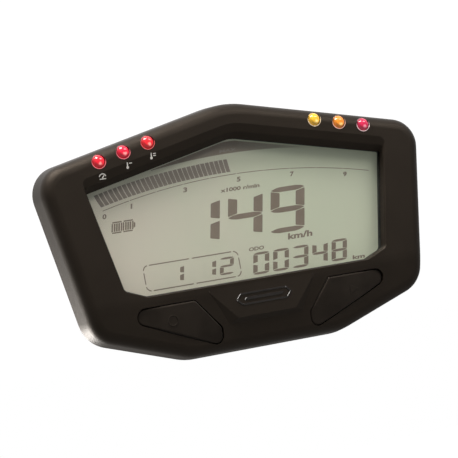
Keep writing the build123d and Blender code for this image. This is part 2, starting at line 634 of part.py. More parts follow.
# ---------------------------------------------------------------- buttons
for side_name, side in SIDES:
    stem_x, stem_z = side * STEM_AT[0], STEM_AT[1]
    cap_line = sided(grown(BUTTON, -BUTTON_GAP), side)

    with BuildPart() as button:
        with BuildSketch(at(FLANGE[0])):
            outline(cap_line)
        extrude(amount=FLANGE[0] - CAP_BLANK)
        # a shallow crown, square to the tilted field
        tilt = radians(FIELD_TILT)
        crown_centre = Vector(
            stem_x,
            LIP_Y + field_depth(stem_z) - CAP_PROUD + CAP_CROWN_R,
            stem_z + CAP_CROWN_R * tan(tilt),
        )
        crown = Pos(crown_centre) * Sphere(hypot(CAP_CROWN_R, CAP_CROWN_R * tan(tilt)), mode=Mode.PRIVATE)
        add(crown, mode=Mode.INTERSECT)
        fillet(button.faces().sort_by(Axis.Y)[0].edges(), CAP_EDGE)
        with BuildSketch(at(FLANGE[1])):
            outline(sided(grown(BUTTON, FLANGE_WIDTH), side))
            outline(grown(CAVITY, -MOVING_GAP), mode=Mode.INTERSECT)
        extrude(amount=thickness(FLANGE))
        circles(STEM_TIP, [(stem_x, stem_z)], STEM_R, STEM_TIP - FLANGE[1])
        with BuildSketch(at(STEM_GROOVE[1])):
            with Locations((stem_x, stem_z)):
                Circle(SLEEVE_R)
                Circle(STEM_R - 2 * RING_R + RING_FIT, mode=Mode.SUBTRACT)
        extrude(amount=thickness(STEM_GROOVE), mode=Mode.SUBTRACT)
    button.part.label = f"{side_name}_button"
    export_step(button.part, f"parts/{side_name}_button.step")

    with BuildPart() as stem_ring:
        ring_depth = sum(STEM_GROOVE) / 2
        with BuildSketch(Plane(origin=(stem_x, LIP_Y + ring_depth, stem_z), z_dir=(0, 0, 1))):
            with Locations((STEM_R + RING_SLACK - RING_R, 0)):
                Circle(RING_R - RING_SLACK)
        revolve(axis=Axis((stem_x, 0, stem_z), (0, 1, 0)))
    stem_ring.part.label = f"{side_name}_button_ring"
    export_step(stem_ring.part, f"parts/{side_name}_button_ring.step")

    with BuildPart() as retainer:
        with BuildSketch(at(RETAINER[1])):
            outline(sided(grown(BUTTON, RETAINER_GROWTH), side))
            outline(grown(OUTER, TONGUE[1] - MOVING_GAP), mode=Mode.INTERSECT)
            with Locations(*side_points(STAKES, side)):
                Circle(STAKE_LUG_R)
            with Locations((0, RETAINER_TOP)):
                Rectangle(WIDE, WIDE, align=(Align.CENTER, Align.MIN), mode=Mode.SUBTRACT)
            with Locations(*side_points(STAKES, side)):
                Circle(STAKE_R + SLEEVE_FIT, mode=Mode.SUBTRACT)
        extrude(amount=thickness(RETAINER))
        circles(SLEEVE_REAR, [(stem_x, stem_z)], SLEEVE_R, SLEEVE_REAR - RETAINER[0])
        circles(SLEEVE_REAR, [(stem_x, stem_z)], STEM_R + SLEEVE_FIT, SLEEVE_REAR, mode=Mode.SUBTRACT)
    retainer.part.label = f"{side_name}_button_retainer"
    export_step(retainer.part, f"parts/{side_name}_button_retainer.step")

    with BuildPart() as switch_body:
        with BuildSketch(at(BOARD_FRONT)):
            with Locations((stem_x, stem_z)):
                RectangleRounded(SWITCH_SIZE, SWITCH_SIZE, SWITCH_CORNER)
        extrude(amount=BOARD_FRONT - SWITCH_FRONT)
        well_depth = SWITCH_WELL - SWITCH_FRONT
        circles(SWITCH_WELL, [(stem_x, stem_z)], PLUNGER_R + SLEEVE_FIT, well_depth, mode=Mode.SUBTRACT)
    switch_body.part.label = f"{side_name}_switch_body"
    export_step(switch_body.part, f"parts/{side_name}_switch_body.step")

    with BuildPart() as plunger:
        circles(PLUNGER[1], [(stem_x, stem_z)], PLUNGER_R, thickness(PLUNGER))
        chamfer(plunger.edges().group_by(Axis.Y)[0], PLUNGER_EDGE)
    plunger.part.label = f"{side_name}_switch_plunger"
    export_step(plunger.part, f"parts/{side_name}_switch_plunger.step")

# ---------------------------------------------------------------- main board and what it carries
with BuildPart() as main_board:
    with BuildSketch(at(BOARD_REAR)):
        outline(BOARD_LINE)
        with Locations(*CASE_SCREWS):
            Circle(TOWER_R + BOARD_TOWER_GAP, mode=Mode.SUBTRACT)
        with Locations(*BOARD_SCREWS):
            Circle(BOARD_SCREW_R + BOARD_HOLE_FIT, mode=Mode.SUBTRACT)
        for x, z in INDICATOR_POINTS:
            inward = -LEAD_STEP[0] if x > 0 else LEAD_STEP[0]
            with Locations((x + inward, z - LEAD_STEP[1])):
                with GridLocations(LEAD_PITCH, 0, 2, 1):
                    Circle(LEAD_R + BOARD_HOLE_FIT, mode=Mode.SUBTRACT)
        with Locations(HEADER_AT):
            with GridLocations(PIN_PITCH, PIN_PITCH, PIN_COLUMNS, 2):
                Circle(PIN_HOLE_R, mode=Mode.SUBTRACT)
    extrude(amount=BOARD_REAR - BOARD_FRONT)
main_board.part.label = "main_board"
export_step(main_board.part, "parts/main_board.step")

board_screws = screws(
    BOARD_SCREWS, BOARD_SCREW_R, BOARD_SCREW_TIP, BOARD_REAR, (BOARD_HEAD_R, BOARD_HEAD), BOARD_RECESS
)
board_screws.label = "board_screws"
export_step(board_screws, "parts/board_screws.step")


def leaded_chip(centre, size, height, sides, pitch):
    """A chip on the rear of the board: a moulded body with a row of feet along each side listed."""
    with BuildPart() as package:
        with BuildSketch(at(BOARD_REAR + PACKAGE_GAP)):
            with Locations(centre):
                RectangleRounded(*size, PACKAGE_CORNER)
        extrude(amount=PACKAGE_GAP - height)
        for dx, dz in sides:
            row_length = size[0] if dz else size[1]
            count = int((row_length - LEAD_ROW_MARGIN) / pitch)
            reach = [side / 2 + LEAD_FOOT_REACH for side in size]
            with BuildSketch(at(BOARD_REAR)):
                with Locations((centre[0] + dx * reach[0], centre[1] + dz * reach[1])):
                    if dz:
                        with GridLocations(pitch, 0, count, 1):
                            Rectangle(*LEAD_FOOT)
                    else:
                        with GridLocations(0, pitch, 1, count):
                            Rectangle(*reversed(LEAD_FOOT))
            extrude(amount=-LEAD_FOOT_HEIGHT)
    return package.part


def blocks(places, size, height, mark):
    """A group of small surface-mounted bodies, each with a shallow step that tells its ends apart."""
    with BuildPart() as group:
        with BuildSketch(at(BOARD_REAR)):
            with Locations(*places):
                Rectangle(*size)
        extrude(amount=-height)
        with BuildSketch(at(BOARD_REAR + height)):
            with Locations(*places):
                Rectangle(size[0] - 2 * mark, size[1] + mark)
        extrude(amount=END_STEP, mode=Mode.SUBTRACT)
    return group.part


ALL_SIDES = [(-1, 0), (1, 0), (0, -1), (0, 1)]
TWO_SIDES = [(0, -1), (0, 1)]
microcontroller = leaded_chip(MICROCONTROLLER_AT, (10, 10), 1.5, ALL_SIDES, 1.0)
microcontroller.label = "microcontroller"
export_step(microcontroller, "parts/microcontroller.step")

display_driver = leaded_chip(DRIVER_AT, (12, 7), 1.3, TWO_SIDES, 0.9)
display_driver.label = "display_driver"
export_step(display_driver, "parts/display_driver.step")

voltage_regulator = leaded_chip(REGULATOR_AT, (6.5, 3.5), 1.6, TWO_SIDES, 2.3)
voltage_regulator.label = "voltage_regulator"
export_step(voltage_regulator, "parts/voltage_regulator.step")

crystal = blocks([CRYSTAL_AT], (5.0, 3.2), 1.1, 0.4)
crystal.label = "crystal"
export_step(crystal, "parts/crystal.step")

suppressor_diode = blocks([DIODE_AT], (4.6, 3.6), 2.3, 1.0)
suppressor_diode.label = "suppressor_diode"
export_step(suppressor_diode, "parts/suppressor_diode.step")

chip_places = []
for (x, z), columns, rows in CHIP_FIELDS:
    for column in range(columns):
        chip_x = x + (column - (columns - 1) / 2) * CHIP_PITCH[0]
        chip_places += [(chip_x, z - row * CHIP_PITCH[1]) for row in range(rows)]
chip_components = blocks(chip_places, (2.0, 1.25), 0.6, 0.4)
chip_components.label = "chip_components"
export_step(chip_components, "parts/chip_components.step")

with BuildPart() as inductor:
    with BuildSketch(at(BOARD_REAR)):
        with Locations(INDUCTOR_AT):
            RectangleRounded(INDUCTOR_SIZE[0], INDUCTOR_SIZE[0], INDUCTOR_CORNER)
    extrude(amount=-INDUCTOR_SIZE[1])
    chamfer(inductor.edges().group_by(Axis.Y)[-1], INDUCTOR_EDGE)
inductor.part.label = "inductor"
export_step(inductor.part, "parts/inductor.step")

with BuildPart() as capacitors:
    for place in CAPACITORS:
        with BuildSketch(at(BOARD_REAR)):
            with Locations(place):
                Rectangle(CAPACITOR_BASE[0], CAPACITOR_BASE[0])
        extrude(amount=-CAPACITOR_BASE[1])
        circles(BOARD_REAR + CAPACITOR_BASE[1], [place], CAPACITOR_R, -CAPACITOR_CAN)
    fillet(capacitors.edges().filter_by(GeomType.CIRCLE).group_by(Axis.Y)[-1], CAPACITOR_EDGE)
capacitors.part.label = "capacitors"
export_step(capacitors.part, "parts/capacitors.step")

with BuildPart() as harness_header:
    with BuildSketch(at(BOARD_REAR)):
        with Locations(HEADER_AT):
            RectangleRounded(*HEADER_SIZE, HEADER_CORNER)
            with GridLocations(PIN_PITCH, PIN_PITCH, PIN_COLUMNS, 2):
                Rectangle(PIN_SIZE, PIN_SIZE, mode=Mode.SUBTRACT)
    extrude(amount=-HEADER_HEIGHT)
    with BuildSketch(at(BOARD_REAR + HEADER_HEIGHT)):
        with Locations(HEADER_AT):
            Rectangle(*[side - 2 * HEADER_WALL for side in HEADER_SIZE])
    extrude(amount=HEADER_HEIGHT - HEADER_FLOOR, mode=Mode.SUBTRACT)
harness_header.part.label = "harness_header"
export_step(harness_header.part, "parts/harness_header.step")

with BuildPart() as header_pins:
    pin_tip = BOARD_REAR + HEADER_HEIGHT - PIN_SHORT
    with BuildSketch(at(pin_tip)):
        with Locations(HEADER_AT):
            with GridLocations(PIN_PITCH, PIN_PITCH, PIN_COLUMNS, 2):
                Rectangle(PIN_SIZE, PIN_SIZE)
    extrude(amount=pin_tip - BOARD_FRONT + PIN_TAIL)
header_pins.part.label = "header_pins"
export_step(header_pins.part, "parts/header_pins.step")
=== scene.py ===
"""Looks of the motorcycle instrument cluster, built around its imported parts.

Positions are worked out in millimetres (x to the right, z up, depth behind the window's lip) and
turned into metres when a piece is made.
"""

import json
from math import cos, pi, radians, sin, sqrt

import bmesh
import bpy
from mathutils import Matrix, Vector
from mathutils.bvhtree import BVHTree


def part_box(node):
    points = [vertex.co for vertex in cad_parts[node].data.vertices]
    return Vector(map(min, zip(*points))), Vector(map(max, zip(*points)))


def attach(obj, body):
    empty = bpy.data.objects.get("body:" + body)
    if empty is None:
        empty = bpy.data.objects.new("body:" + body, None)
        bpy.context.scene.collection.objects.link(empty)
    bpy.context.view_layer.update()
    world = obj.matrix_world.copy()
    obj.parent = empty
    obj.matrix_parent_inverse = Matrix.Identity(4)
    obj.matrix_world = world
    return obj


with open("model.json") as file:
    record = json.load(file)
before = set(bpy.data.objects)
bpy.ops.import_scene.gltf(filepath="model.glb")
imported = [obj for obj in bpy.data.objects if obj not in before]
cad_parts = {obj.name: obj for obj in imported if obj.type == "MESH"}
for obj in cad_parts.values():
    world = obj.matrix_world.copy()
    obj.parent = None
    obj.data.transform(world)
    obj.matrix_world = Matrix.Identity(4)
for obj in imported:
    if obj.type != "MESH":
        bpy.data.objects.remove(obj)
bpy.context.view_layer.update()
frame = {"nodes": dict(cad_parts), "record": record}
MM = 0.001


# ------------------------------------------------------------------ places read from the frame
def node_box(node):
    """A node's lowest and highest corners in millimetres."""
    low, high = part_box(node)
    return low / MM, high / MM


SLOT_OF = {part["node"]: part["material_slot"] for part in frame["record"]["subparts"]}
POLARISER_Y = node_box("front_polariser")[0].y
BEZEL_FACE_Y = node_box("front_bezel")[0].y


# ------------------------------------------------------------------ camera, light and floor
VIEW_AZIMUTH = radians(-22.84)
VIEW_ELEVATION = radians(-4.195)
VIEW_ROLL = radians(-10.855)
VIEW_DISTANCE = 560.07
VIEW_TARGET = Vector((-6.851, -27.0, -1.492))
LENS_LENGTH = 149.34
FLOOR_Z = -420
FLOOR_HALF_WIDTH = 6000
ROOM_FRONT = 0.10
ROOM_BEHIND = 0.85
ROOM_ABOVE = 0.45


def add_camera():
    """A long lens to the left of the cluster and a little below it, rolled anticlockwise."""
    data = bpy.data.cameras.new("camera")
    data.lens = LENS_LENGTH
    data.sensor_width = 36
    data.clip_start = 0.01
    data.clip_end = 20
    camera = bpy.data.objects.new("camera", data)
    bpy.context.scene.collection.objects.link(camera)
    look_along_y = Matrix(((1, 0, 0), (0, 0, -1), (0, 1, 0)))
    turn = (
        Matrix.Rotation(VIEW_ROLL, 3, "Z")
        @ Matrix.Rotation(VIEW_ELEVATION, 3, "X")
        @ Matrix.Rotation(VIEW_AZIMUTH, 3, "Y")
        @ look_along_y
    )
    facing = turn.transposed() @ Matrix.Diagonal((1, -1, -1))
    place = VIEW_TARGET - turn.transposed() @ Vector((0, 0, VIEW_DISTANCE))
    camera.matrix_world = Matrix.Translation(place * MM) @ facing.to_4x4()
    bpy.context.scene.camera = camera


def add_softbox(name, place, target, size, power, tint=(1, 1, 1)):
    """A rectangular area light that faces its target. Places in millimetres, power in watts."""
    data = bpy.data.lights.new(name, "AREA")
    data.shape = "RECTANGLE"
    data.size, data.size_y = (side * MM for side in size)
    data.energy = power
    data.color = tint
    lamp = bpy.data.objects.new(name, data)
    bpy.context.scene.collection.objects.link(lamp)
    lamp.location = Vector(place) * MM
    lamp.rotation_euler = (Vector(target) - Vector(place)).to_track_quat("-Z", "Y").to_euler()


def light_world(tree):
    """White to the eye. It lights the object as a white sweep does: bright behind, dim in front."""
    background = tree.nodes["Background"]
    background.inputs["Color"].default_value = (1, 1, 1, 1)
    direction = tree.nodes.new("ShaderNodeTexCoord")
    parts = tree.nodes.new("ShaderNodeSeparateXYZ")
    tree.links.new(direction.outputs["Generated"], parts.inputs["Vector"])
    strength = None
    for axis, span, gain in (("Y", (-0.3, 0.5), ROOM_BEHIND), ("Z", (-0.1, 0.9), ROOM_ABOVE)):
        ramp = tree.nodes.new("ShaderNodeMapRange")
        ramp.inputs["From Min"].default_value, ramp.inputs["From Max"].default_value = span
        ramp.inputs["To Max"].default_value = gain
        tree.links.new(parts.outputs[axis], ramp.inputs["Value"])
        total = tree.nodes.new("ShaderNodeMath")
        total.operation = "ADD"
        total.inputs[1].default_value = ROOM_FRONT
        if strength is not None:
            tree.links.new(strength, total.inputs[1])
        tree.links.new(ramp.outputs["Result"], total.inputs[0])
        strength = total.outputs["Value"]
    path = tree.nodes.new("ShaderNodeLightPath")
    seen = tree.nodes.new("ShaderNodeMath")
    seen.operation = "MAXIMUM"
    tree.links.new(path.outputs["Is Camera Ray"], seen.inputs[0])
    tree.links.new(strength, seen.inputs[1])
    tree.links.new(seen.outputs["Value"], background.inputs["Strength"])


def add_studio():
    """White surroundings, a plain pale floor and three soft lamps."""
    world = bpy.data.worlds.new("studio")
    bpy.context.scene.world = world
    world.use_nodes = True
    light_world(world.node_tree)
    add_softbox("key", (-130, -150, 410), (0, 0, 10), (300, 200), 2.8, (1.0, 0.955, 0.90))
    add_softbox("front", (330, -420, 340), (0, 0, 20), (320, 200), 1.3, (1.0, 0.965, 0.92))
    add_softbox("rim", (-170, 170, -115), (-30, 5, -25), (220, 60), 1.2, (1.0, 0.975, 0.94))
    floor = bpy.data.meshes.new("floor")
    half = FLOOR_HALF_WIDTH * MM
    corners = [(-half, -half), (half, -half), (half, half), (-half, half)]
    floor.from_pydata([(x, y, FLOOR_Z * MM) for x, y in corners], [], [(0, 1, 2, 3)])
    plane = bpy.data.objects.new("floor", floor)
    bpy.context.scene.collection.objects.link(plane)
    plane.data.materials.append(make_floor_material())
    bpy.context.scene.view_settings.view_transform = "Standard"


# ------------------------------------------------------------------ material helpers
class Surface:
    """A material with one Principled shader, and short ways to add nodes in front of it.

    Coordinates are the object's own, in millimetres, so that every size is a real one.
    """

    def __init__(self, name, colour, roughness, **settings):
        self.material = bpy.data.materials.new(name)
        self.material.use_nodes = True
        self.tree = self.material.node_tree
        self.shader = self.tree.nodes["Principled BSDF"]
        self.shader.inputs["Base Color"].default_value = (*colour, 1)
        self.shader.inputs["Roughness"].default_value = roughness
        for key, value in settings.items():
            socket = self.shader.inputs[key.replace("_", " ").title().replace("Ior", "IOR")]
            socket.default_value = (*value, 1) if isinstance(value, tuple) else value
        self.material.diffuse_color = (*colour, 1)
        self.coordinates = None
        self.height = None

    def add(self, kind, **inputs):
        """Adds a node. Inputs are values or sockets, by name, with _ for spaces."""
        node = self.tree.nodes.new(kind)
        for key, value in inputs.items():
            self.feed(node.inputs[key.replace("_", " ")], value)
        return node

    def feed(self, socket, value):
        """Links a socket to another, or sets its value."""
        if isinstance(value, bpy.types.NodeSocket):
            self.tree.links.new(value, socket)
        else:
            socket.default_value = value

    def position(self):
        """The object's own coordinates in millimetres."""
        if self.coordinates is None:
            source = self.add("ShaderNodeTexCoord")
            scaled = self.add("ShaderNodeVectorMath", Vector=source.outputs["Object"])
            scaled.operation = "SCALE"
            scaled.inputs["Scale"].default_value = 1 / MM
            self.coordinates = scaled.outputs["Vector"]
        return self.coordinates

    def noise(self, size, detail=3.0, roughness=0.55, stretch=None):
        """Noise whose blotches are about a size in millimetres, from 0 to 1."""
        vector = self.position()
        if stretch:
            node = self.add("ShaderNodeVectorMath", Vector=vector)
            node.operation = "MULTIPLY"
            node.inputs[1].default_value = stretch
            vector = node.outputs["Vector"]
        node = self.add("ShaderNodeTexNoise", Vector=vector, Scale=1 / size, Detail=detail)
        node.inputs["Roughness"].default_value = roughness
        return node.outputs["Fac"]

    def remap(self, value, low, high, to_low=0.0, to_high=1.0):
        """Carries a range of values onto another, clamped."""
        node = self.add("ShaderNodeMapRange", Value=value)
        node.inputs["From Min"].default_value = low
        node.inputs["From Max"].default_value = high
        node.inputs["To Min"].default_value = to_low
        node.inputs["To Max"].default_value = to_high
        return node.outputs["Result"]

    def calculate(self, operation, a, b=0.0):
        """One arithmetic step."""
        node = self.add("ShaderNodeMath")
        node.operation = operation
        self.feed(node.inputs[0], a)
        self.feed(node.inputs[1], b)
        return node.outputs["Value"]

    def axis(self, name):
        """One coordinate of the position: X, Y or Z."""
        node = self.add("ShaderNodeSeparateXYZ", Vector=self.position())
        return node.outputs[name]

    def blend(self, amount, first, second):
        """Mixes two colours."""
        node = self.tree.nodes.new("ShaderNodeMix")
        node.data_type = "RGBA"
        colours = [socket for socket in node.inputs if socket.type == "RGBA"]
        self.feed(node.inputs["Factor"], amount)
        for socket, value in zip(colours, (first, second)):
            self.feed(socket, (*value, 1) if isinstance(value, tuple) else value)
        return next(socket for socket in node.outputs if socket.type == "RGBA")

    def colour(self, amount, first, second):
        """Drives the base colour between two colours."""
        self.feed(self.shader.inputs["Base Color"], self.blend(amount, first, second))

    def shine(self, amount, low, high):
        """Drives the roughness between two values."""
        self.feed(self.shader.inputs["Roughness"], self.remap(amount, 0, 1, low, high))

    def relief(self, height, distance, strength=1.0):
        """Adds a bump of a height in millimetres, after any that is there already."""
        node = self.add("ShaderNodeBump", Height=height)
        node.inputs["Distance"].default_value = distance * MM
        node.inputs["Strength"].default_value = strength
        if self.height is not None:
            self.feed(node.inputs["Normal"], self.height)
        self.height = node.outputs["Normal"]
        self.feed(self.shader.inputs["Normal"], self.height)

    def edges(self, radius):
        """1 near sharp edges, 0 on open faces."""
        bevel = self.add("ShaderNodeBevel", Radius=radius * MM)
        bevel.samples = 4
        geometry = self.add("ShaderNodeNewGeometry")
        dot = self.add("ShaderNodeVectorMath")
        dot.operation = "DOT_PRODUCT"
        self.feed(dot.inputs[0], bevel.outputs["Normal"])
        self.feed(dot.inputs[1], geometry.outputs["Normal"])
        return self.remap(dot.outputs["Value"], 0.995, 0.93)


def make_floor_material():
    """Pale paper. Its bounce is kept low, so that the object's underside stays dark."""
    surface = Surface("floor_paper", (0.93, 0.93, 0.92), 0.9)
    seen = surface.add("ShaderNodeLightPath").outputs["Is Camera Ray"]
    paper = surface.blend(surface.noise(60, 4), (0.94, 0.94, 0.93), (0.92, 0.92, 0.91))
    surface.feed(surface.shader.inputs["Base Color"], surface.blend(seen, (0.28, 0.28, 0.275), paper))
    surface.shader.inputs["Emission Color"].default_value = (1, 1, 1, 1)
    surface.feed(surface.shader.inputs["Emission Strength"], surface.calculate("MULTIPLY", seen, 0.85))
    surface.relief(surface.noise(0.8, 3), 0.05)
    return surface.material


WARM_SHEEN = (1.0, 0.84, 0.69)
PLASTIC_GLOSS = 0.33


def moulded_plastic(
    name, colour, lighter, grain=0.11, depth=0.012, roughness=(0.42, 0.56)
):
    """Spark-eroded moulded plastic: fine pits, slow changes of gloss, and edges rubbed smoother."""
    surface = Surface(
        name, colour, roughness[0], specular_ior_level=PLASTIC_GLOSS, specular_tint=WARM_SHEEN
    )
    clouds = surface.noise(14, 4)
    fine = surface.noise(grain, 2, 0.7)
    rubbed = surface.edges(0.35)
    patchy = surface.calculate("MULTIPLY", rubbed, surface.remap(surface.noise(3.5, 3), 0.42, 0.62))
    tone = surface.calculate("MULTIPLY", fine, 0.25)
    tone = surface.calculate("ADD", tone, surface.calculate("MULTIPLY", clouds, 0.5))
    tone = surface.calculate("ADD", tone, surface.calculate("MULTIPLY", patchy, 0.5))
    surface.colour(surface.remap(tone, 0.25, 0.9), colour, lighter)
    smooth = surface.calculate("SUBTRACT", clouds, surface.calculate("MULTIPLY", patchy, 0.6))
    surface.shine(surface.remap(smooth, 0.0, 0.8), roughness[0], roughness[1])
    surface.relief(fine, depth)
    surface.relief(surface.noise(2.6, 2), 0.006)
    return surface


def make_bezel():
    """The bezel's warm black, with its fine spark-eroded texture."""
    return moulded_plastic("bezel_plastic", (0.0085, 0.0062, 0.0045), (0.0175, 0.013, 0.0095)).material


def make_casing():
    """The rear casing's coarser and more worn plastic."""
    dark, light = (0.022, 0.020, 0.019), (0.040, 0.037, 0.034)
    return moulded_plastic(
        "casing_plastic", dark, light, grain=0.22, depth=0.02, roughness=(0.5, 0.62)
    ).material


def make_button():
    """Smooth soft-touch rubber with a faint sheen and the smudges of fingertips."""
    surface = Surface(
        "button_rubber",
        (0.008, 0.006, 0.005),
        0.6,
        specular_ior_level=0.26,
        specular_tint=WARM_SHEEN,
        sheen_weight=0.08,
        sheen_roughness=0.4,
    )
    fine = surface.noise(0.07, 2, 0.7)
    smudge = surface.noise(6, 4)
    surface.colour(surface.remap(smudge, 0.3, 0.7), (0.0085, 0.0065, 0.005), (0.016, 0.0125, 0.010))
    surface.shine(surface.remap(smudge, 0.35, 0.65), 0.5, 0.66)
    surface.relief(fine, 0.006)
    return surface.material


def make_rubber(name, colour=(0.02, 0.02, 0.02)):
    """Matt rubber with a pale bloom."""
    surface = Surface(name, colour, 0.7, specular_ior_level=0.35)
    bloom = surface.noise(5, 4)
    surface.colour(surface.remap(bloom, 0.35, 0.7), colour, tuple(c * 1.9 for c in colour))
    surface.shine(bloom, 0.6, 0.82)
    surface.relief(surface.noise(0.12, 2), 0.01)
    return surface.material


def make_lens():
    """Hard-coated clear window. It lets the lamps' light through to the display."""
    surface = Surface("lens_clear", (0.97, 0.985, 0.97), 0.03, transmission_weight=1.0, ior=1.49)
    haze = surface.noise(9, 3)
    surface.shine(haze, 0.015, 0.04)
    surface.relief(surface.noise(18, 2), 0.004)
    tree = surface.tree
    output = tree.nodes["Material Output"]
    path = surface.add("ShaderNodeLightPath")
    clear = surface.add("ShaderNodeBsdfTransparent", Color=(0.93, 0.95, 0.93, 1))
    mix = tree.nodes.new("ShaderNodeMixShader")
    seen = surface.calculate("MAXIMUM", path.outputs["Is Shadow Ray"], path.outputs["Is Diffuse Ray"])
    tree.links.new(seen, mix.inputs[0])
    tree.links.new(surface.shader.outputs[0], mix.inputs[1])
    tree.links.new(clear.outputs[0], mix.inputs[2])
    tree.links.new(mix.outputs[0], output.inputs[0])
    return surface.material


# The display's ground at its left and right ends, and what is mixed into it.
DISPLAY_LEFT = (0.690, 0.605, 0.545)
DISPLAY_RIGHT = (0.585, 0.598, 0.490)
# The darker band's colour is painted shade: the frame's shadow on the display, partly a printed band.
BAND_SHADE_COLOUR = (0.315, 0.255, 0.215)
BAND_WORD = (0.42, 0.365, 0.32)
UNLIT_TINT = (0.1, 0.1, 0.08)
SPECK_TINT = (0.62, 0.64, 0.54)
BACKLIGHT_TINT = (0.62, 0.70, 0.50, 1)
BACKLIGHT_STRENGTH = 0.06


def display_ground(surface):
    """The colour of the display's ground: greener to the right, and slightly uneven."""
    across = surface.remap(surface.axis("X"), -46, 20)
    uneven = surface.noise(22, 3)
    shift = surface.calculate("ADD", across, surface.remap(uneven, 0.3, 0.7, -0.18, 0.18))
    ground = surface.blend(surface.remap(shift, 0, 1), DISPLAY_LEFT, DISPLAY_RIGHT)
    speck = surface.remap(surface.noise(0.16, 2), 0.3, 0.7, 0.0, 0.07)
    return surface.blend(speck, ground, SPECK_TINT)


def light_from_behind(surface):
    """The backlight's faint glow through the display."""
    surface.shader.inputs["Emission Color"].default_value = BACKLIGHT_TINT
    surface.shader.inputs["Emission Strength"].default_value = BACKLIGHT_STRENGTH


def make_display_face():
    """The liquid crystal display's ground, with a fine cell pattern and the backlight's faint glow."""
    surface = Surface("display_ground", DISPLAY_RIGHT, 0.38, specular_ior_level=0.3)
    surface.feed(surface.shader.inputs["Base Color"], display_ground(surface))
    surface.shine(surface.noise(0.3, 2), 0.32, 0.44)
    surface.relief(surface.noise(0.09, 2), 0.003)
    light_from_behind(surface)
    return surface.material


def make_segment(name, colour, other):
    """A printed or switched-on shape, slightly uneven in tone."""
    surface = Surface(name, colour, 0.42, specular_ior_level=0.3)
    surface.colour(surface.remap(surface.noise(5, 3), 0.3, 0.7), colour, other)
    surface.relief(surface.noise(0.12, 2), 0.002)
    return surface.material


def make_unlit_segment():
    """A segment that is off: only a trace darker than the ground."""
    surface = Surface("segment_unlit", DISPLAY_RIGHT, 0.38, specular_ior_level=0.3)
    trace = surface.remap(surface.noise(5, 3), 0.3, 0.7, 0.004, 0.02)
    surface.colour(trace, display_ground(surface), UNLIT_TINT)
    surface.relief(surface.noise(0.12, 2), 0.002)
    light_from_behind(surface)
    return surface.material


def make_peak_band():
    """Painted shade of the frame's top edge on the display, over a partly printed band: a darker arc
    under the window's top edge, which fades towards the right.
    """
    surface = Surface("display_band_painted_shade", BAND_SHADE_COLOUR, 0.42, specular_ior_level=0.3)
    fade = surface.remap(surface.axis("X"), 4, 26)
    wander = surface.calculate("ADD", fade, surface.remap(surface.noise(7, 3), 0.3, 0.7, -0.12, 0.12))
    surface.colour(surface.remap(wander, 0, 1), BAND_SHADE_COLOUR, DISPLAY_RIGHT)
    surface.relief(surface.noise(0.12, 2), 0.002)
    return surface.material


def make_board():
    """Green laminate: tracks under the solder mask, and the weave of the glass."""
    surface = Surface("board_laminate", (0.01, 0.09, 0.035), 0.35, coat_weight=0.25)
    weave = surface.noise(0.6, 2, 0.5, (1, 1, 0.35))
    tracks = surface.remap(surface.noise(2.2, 1, 0.3, (0.35, 1, 1)), 0.49, 0.53)
    surface.colour(tracks, (0.008, 0.075, 0.03), (0.02, 0.14, 0.055))
    surface.shine(weave, 0.28, 0.42)
    surface.relief(tracks, 0.03)
    surface.relief(weave, 0.004)
    return surface.material


def make_metal(name, colour, dark, roughness=(0.25, 0.42), brushed=(1, 1, 1)):
    """Bare or plated metal with fine scratches and stains."""
    surface = Surface(name, colour, roughness[0], metallic=1.0)
    scratches = surface.noise(0.25, 3, 0.65, brushed)
    stains = surface.noise(2.2, 3)
    surface.colour(surface.remap(stains, 0.35, 0.72), colour, dark)
    surface.shine(scratches, roughness[0], roughness[1])
    surface.relief(scratches, 0.006)
    return surface.material


def make_film(name, colour, other, roughness=0.4):
    """A pale film or light guide."""
    surface = Surface(name, colour, roughness)
    surface.colour(surface.noise(7, 3), colour, other)
    surface.shine(surface.noise(1.2, 2), roughness * 0.85, roughness * 1.15)
    surface.relief(surface.noise(0.2, 2), 0.004)
    return surface.material


def make_glass_cell():
    """The display cell's polished glass."""
    surface = Surface("display_glass", (0.80, 0.84, 0.76), 0.06, transmission_weight=0.85, ior=1.52)
    surface.shine(surface.noise(4, 2), 0.04, 0.1)
    surface.relief(surface.noise(12, 2), 0.003)
    return surface.material


def away_from(surface, point):
    """The distance from a line along Y through a point (x, z), in millimetres."""
    dx = surface.calculate("SUBTRACT", surface.axis("X"), point[0])
    dz = surface.calculate("SUBTRACT", surface.axis("Z"), point[1])
    squares = (surface.calculate("POWER", dx, 2), surface.calculate("POWER", dz, 2))
    square = surface.calculate("ADD", *squares)
    return surface.calculate("SQRT", square)


def make_lamp_dome(name, colour, core, centre, radius, strength):
    """A lit, tinted lamp: a pale core low in the dome, and a darker crescent to its lower left."""
    surface = Surface(name, colour, 0.10, coat_weight=0.7, coat_roughness=0.04, ior=1.5)
    x, z = centre
    swirl = surface.remap(surface.noise(0.9, 2), 0.3, 0.7, -0.22, 0.22)
    near_core = surface.calculate("ADD", away_from(surface, (x + 0.25, z - 0.38 * radius)), swirl)
    glow = surface.blend(surface.remap(near_core, 0.10 * radius, 0.36 * radius), core, colour)
    inner = away_from(surface, (x + 0.20 * radius, z + 0.18 * radius))
    outer = away_from(surface, centre)
    crescent = surface.calculate(
        "MULTIPLY",
        surface.remap(inner, 0.66 * radius, 0.88 * radius),
        surface.remap(outer, radius, 0.92 * radius),
    )
    dark = tuple(0.12 * c for c in colour)
    surface.feed(surface.shader.inputs["Emission Color"], surface.blend(crescent, glow, dark))
    brightness = surface.remap(swirl, -0.22, 0.22, strength, 0.7 * strength)
    surface.feed(surface.shader.inputs["Emission Strength"], brightness)
    surface.relief(surface.noise(0.5, 2), 0.01)
    return surface.material


